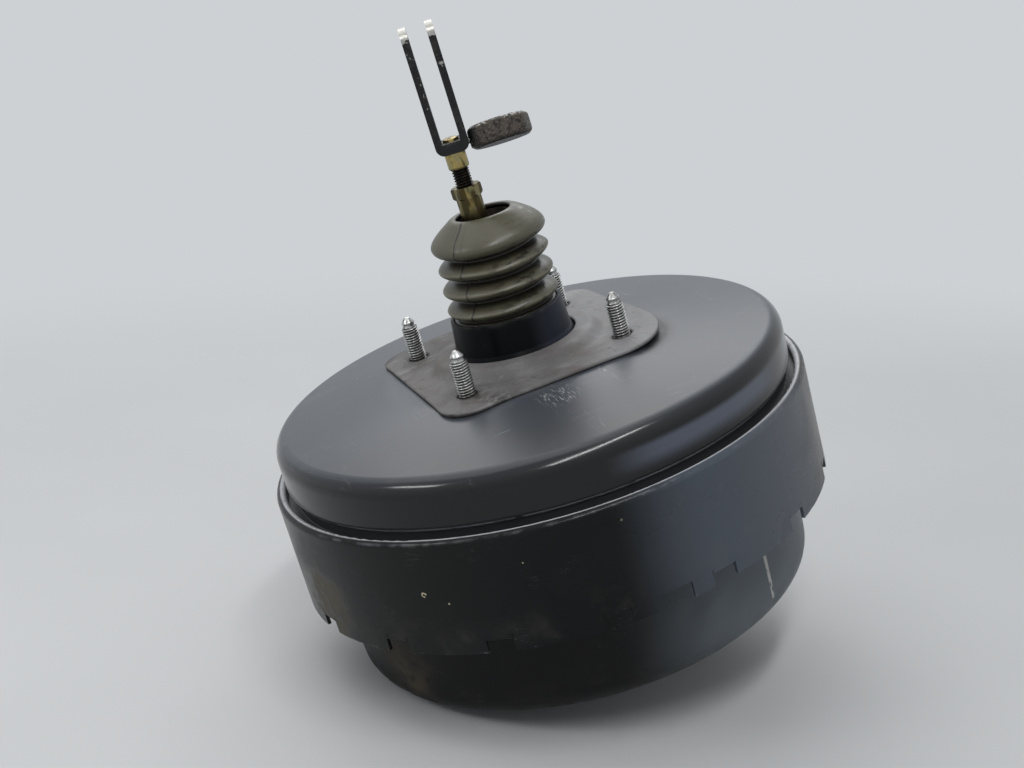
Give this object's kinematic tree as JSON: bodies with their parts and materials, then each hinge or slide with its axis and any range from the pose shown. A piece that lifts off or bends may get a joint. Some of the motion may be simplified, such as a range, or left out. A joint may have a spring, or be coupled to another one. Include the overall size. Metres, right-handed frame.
{
  "type": "vacuum brake booster",
  "caption": "Round tandem vacuum brake booster with a clamped outer band, square stud mount, bellows boot round the input rod, clevis fork and vacuum check valve.",
  "frame": {"origin": "centre of the square stud pattern, on the rear shell's flat mounting pad", "axes": "+Z along the booster's axis, out of the input side towards the pedal; +X and +Y along the sides of the stud square"},
  "size_m": [0.254, 0.254, 0.3118],
  "materials": {
    "shell": "semi-gloss",
    "band": "semi-gloss",
    "sleeve": "semi-gloss",
    "steel": "zinc plated",
    "inner_steel": "zinc plated",
    "yellow_zinc": "yellow passivated",
    "gasket": "matt",
    "boot": "matt",
    "rubber": "matt",
    "block": "matt, worn",
    "resin": "matt",
    "valve_plastic": "matt",
    "nylon": "matt",
    "felt": "felt",
    "spring": "oiled",
    "fork_black": "black phosphate"
  },
  "bodies": {
    "housing": {"rear_shell": "shell", "stud_plate": "inner_steel", "mounting_studs": "steel", "neck_sleeve": "sleeve", "mounting_gasket": "gasket", "rear_bearing": "nylon", "rear_seal": "rubber", "rear_seal_retainer": "inner_steel", "dust_boot": "boot", "outer_band": "band", "centre_plate": "inner_steel", "centre_seal": "rubber", "centre_seal_retainer": "inner_steel", "front_shell": "shell", "front_stiffener": "inner_steel", "cylinder_studs": "steel", "front_rod_seal": "rubber", "return_spring": "spring", "valve_grommet": "rubber"},
    "power_piston": {"valve_body": "resin", "stop_key": "inner_steel", "rear_plate": "inner_steel", "front_plate": "inner_steel", "rear_diaphragm": "rubber", "front_diaphragm": "rubber", "plate_lock_ring": "inner_steel", "rod_retainer": "inner_steel", "reaction_disc": "rubber", "output_rod": "inner_steel", "output_rod_tip": "steel", "poppet_seal": "rubber", "poppet_retainer": "inner_steel", "poppet_spring": "spring", "rod_return_spring": "spring", "air_filter": "felt"},
    "plunger": {"valve_plunger": "inner_steel"},
    "input_rod": {"input_rod": "yellow_zinc", "spring_seat": "inner_steel"},
    "clevis": {"clevis_shank": "yellow_zinc", "clevis_fork": "fork_black", "buffer": "block", "buffer_pin": "inner_steel"},
    "check_valve": {"check_valve_body": "valve_plastic", "check_spring": "spring"},
    "check_disc": {"check_disc": "rubber"}
  },
  "joints": [
    {"name": "piston_slide", "type": "slide", "parent": "housing", "child": "power_piston", "axis": [0, 0, -1], "range_m": [0, 0.032], "stiffness_N_per_m": 3000, "springref_m": -0.04, "deforming": ["return_spring", "rear_diaphragm", "front_diaphragm", "dust_boot"]},
    {"name": "plunger_slide", "type": "slide", "parent": "power_piston", "child": "plunger", "axis": [0, 0, -1], "range_m": [0, 0.0018], "stiffness_N_per_m": 2500, "springref_m": -0.01, "deforming": ["rod_return_spring"]},
    {"name": "rod_tilt", "type": "hinge", "parent": "plunger", "child": "input_rod", "pos_m": [0, 0, -0.01], "axis": [0.2723, 0.9622, 0], "range_deg": [-1, 4.5], "stiffness_Nm_per_rad": 10},
    {"name": "clevis_turn", "type": "hinge", "parent": "input_rod", "child": "clevis", "pos_m": [0, 0, -0.01], "axis": [-0.0294, 0.0083, 0.9995], "range_deg": [-180, 180]},
    {"name": "check_valve_turn", "type": "hinge", "parent": "housing", "child": "check_valve", "pos_m": [0.04805, 0.05726, -0.14155], "axis": [0, 0, 1], "continuous": true},
    {"name": "check_disc_slide", "type": "slide", "parent": "check_valve", "child": "check_disc", "axis": [0, 0, -1], "range_m": [0, 0.0012], "stiffness_N_per_m": 10, "springref_m": -0.002, "deforming": ["check_spring"]}
  ]
}
